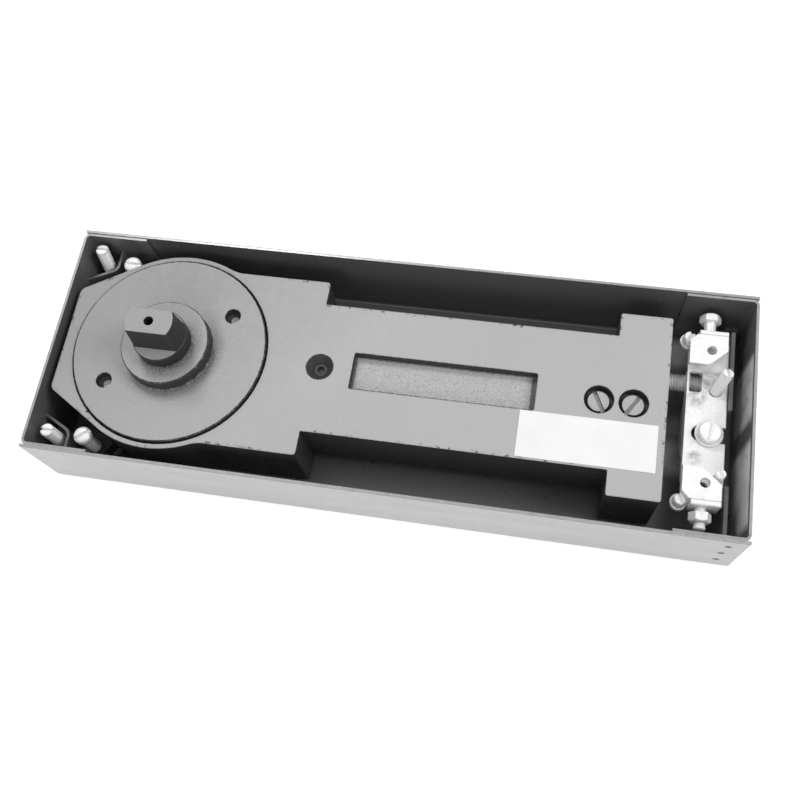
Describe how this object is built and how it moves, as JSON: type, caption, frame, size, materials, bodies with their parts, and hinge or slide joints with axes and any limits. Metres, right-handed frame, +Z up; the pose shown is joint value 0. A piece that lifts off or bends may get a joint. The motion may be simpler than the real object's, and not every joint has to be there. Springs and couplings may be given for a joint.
{
  "type": "floor spring door closer",
  "caption": "Hydraulic floor spring in an open sheet steel cement box: cast closer block with a tapered flat spindle, needle valves and zinc-plated adjusting brackets and screws.",
  "frame": {"origin": "centre of the cement box's underside", "axes": "+X along the box from the spindle end to the tail, +Y to the far long wall, +Z up along the spindle"},
  "size_m": [0.306, 0.108, 0.0689],
  "materials": {
    "box_sheet": "satin zinc-coated sheet",
    "zinc": "bright zinc plate",
    "casting": "grey paint over a cast surface",
    "spindle_steel": "dark ground steel",
    "valve_metal": "satin",
    "steel": "ground and oiled",
    "spring_steel": "dark spring steel",
    "rubber": "matt",
    "label": "bare sticker"
  },
  "bodies": {
    "box": {"box_channel": "box_sheet", "box_end_left": "box_sheet", "box_end_right": "box_sheet", "corner_clip_far": "box_sheet", "corner_clip_near": "box_sheet", "cross_bracket": "box_sheet", "clamp_pillar": "box_sheet", "clamp_washer": "zinc"},
    "closer": {"closer_body": "casting", "bearing_cover": "casting", "cover_seal": "rubber", "lower_bearing": "steel", "upper_bearing": "steel", "spindle_seal": "rubber", "spring": "spring_steel", "end_plug": "spindle_steel", "plug_seal": "rubber", "valve_seals": "rubber", "filler_plug": "spindle_steel", "data_label": "label", "adjust_plate": "zinc", "lug_far": "zinc", "lug_near": "zinc", "side_nut": "zinc", "end_nut": "zinc"},
    "spindle_set": {"spindle": "spindle_steel", "heart_cam": "steel", "cam_key": "steel"},
    "follower": {"follower_plate_lower": "steel", "follower_plate_upper": "steel", "roller_pins": "steel", "piston": "steel", "piston_seal": "rubber", "yoke_pin": "steel"},
    "roller_front": {"front_roller": "steel"},
    "roller_back": {"back_roller": "steel"},
    "valve_speed": {"speed_valve": "valve_metal"},
    "valve_latch": {"latch_valve": "valve_metal"},
    "screw_level_far": {"level_screw_far": "zinc"},
    "screw_level_near": {"level_screw_near": "zinc"},
    "screw_tail_level_far": {"tail_level_far": "zinc"},
    "screw_tail_level_near": {"tail_level_near": "zinc"},
    "bolt_side_far": {"side_bolt_far": "zinc"},
    "bolt_side_near": {"side_bolt_near": "zinc"},
    "screw_end": {"end_screw": "zinc"},
    "screw_tail_far": {"tail_screw_far": "zinc"},
    "screw_tail_near": {"tail_screw_near": "zinc"},
    "screw_corner_far": {"corner_screw_far": "zinc"},
    "screw_corner_near": {"corner_screw_near": "zinc"},
    "screw_clamp": {"clamp_screw": "zinc"}
  },
  "joints": [
    {"name": "closer_side_shift", "type": "slide", "parent": "box", "child": "closer", "axis": [0, 1, 0], "range_m": [-0.001, 0.001]},
    {"name": "spindle_turn", "type": "hinge", "parent": "closer", "child": "spindle_set", "pos_m": [-0.09898, 0, 0.0514], "axis": [0, 0, 1], "range_deg": [0, 130]},
    {"name": "follower_slide", "type": "slide", "parent": "closer", "child": "follower", "axis": [1, 0, 0], "range_m": [0, 0.00908], "stiffness_N_per_m": 200, "springref_m": -0.01, "deforming": ["spring"]},
    {"name": "front_roller_spin", "type": "hinge", "parent": "follower", "child": "roller_front", "pos_m": [-0.08198, 0, 0.0211], "axis": [0, 0, 1], "continuous": true},
    {"name": "back_roller_spin", "type": "hinge", "parent": "follower", "child": "roller_back", "pos_m": [-0.12855, 0, 0.0211], "axis": [0, 0, 1], "continuous": true},
    {"name": "speed_valve_turn", "type": "hinge", "parent": "closer", "child": "valve_speed", "pos_m": [0.0902, 0, 0.037], "axis": [0, 0, 1], "range_deg": [-270, 450]},
    {"name": "latch_valve_turn", "type": "hinge", "parent": "closer", "child": "valve_latch", "pos_m": [0.1045, 0, 0.037], "axis": [0, 0, 1], "range_deg": [-270, 450]},
    {"name": "level_far_turn", "type": "hinge", "parent": "closer", "child": "screw_level_far", "pos_m": [-0.13058, 0.043, 0.02], "axis": [0, 0, 1], "range_deg": [-990, 990]},
    {"name": "level_near_turn", "type": "hinge", "parent": "closer", "child": "screw_level_near", "pos_m": [-0.13058, -0.043, 0.02], "axis": [0, 0, 1], "range_deg": [-990, 990]},
    {"name": "tail_level_far_turn", "type": "hinge", "parent": "closer", "child": "screw_tail_level_far", "pos_m": [0.1266, 0.0365, 0.03], "axis": [0, 0, 1], "range_deg": [-990, 990]},
    {"name": "tail_level_near_turn", "type": "hinge", "parent": "closer", "child": "screw_tail_level_near", "pos_m": [0.1266, -0.0365, 0.03], "axis": [0, 0, 1], "range_deg": [-990, 990]},
    {"name": "side_bolt_far_turn", "type": "hinge", "parent": "closer", "child": "bolt_side_far", "pos_m": [0.1349, 0.04, 0.03195], "axis": [0, 1, 0], "range_deg": [-990, 990]},
    {"name": "side_bolt_near_turn", "type": "hinge", "parent": "closer", "child": "bolt_side_near", "pos_m": [0.1349, -0.04, 0.03195], "axis": [0, 1, 0], "range_deg": [-990, 990]},
    {"name": "end_screw_turn", "type": "hinge", "parent": "closer", "child": "screw_end", "pos_m": [0.13, 0.0205, 0.019], "axis": [1, 0, 0], "range_deg": [-990, 990]},
    {"name": "tail_far_turn", "type": "hinge", "parent": "closer", "child": "screw_tail_far", "pos_m": [0.1421, 0.0187, 0.0405], "axis": [0.2226, 0.3502, 0.9098], "range_deg": [-990, 990]},
    {"name": "tail_near_turn", "type": "hinge", "parent": "closer", "child": "screw_tail_near", "pos_m": [0.1413, -0.0254, 0.0388], "axis": [0, 0, 1], "range_deg": [-990, 990]},
    {"name": "corner_far_turn", "type": "hinge", "parent": "box", "child": "screw_corner_far", "pos_m": [-0.1452, 0.04702, 0.039], "axis": [0, 0.2079, 0.9781], "range_deg": [-990, 990]},
    {"name": "corner_near_turn", "type": "hinge", "parent": "box", "child": "screw_corner_near", "pos_m": [-0.1452, -0.0439, 0.039], "axis": [0, 0, 1], "range_deg": [-990, 990]},
    {"name": "clamp_turn", "type": "hinge", "parent": "box", "child": "screw_clamp", "pos_m": [0.1372, -0.0056, 0.02], "axis": [0, 0, 1], "range_deg": [-990, 990]}
  ],
  "couplings": [
    {"joint": "spindle_turn", "follows": "follower_slide", "rad_per_m": 250}
  ]
}
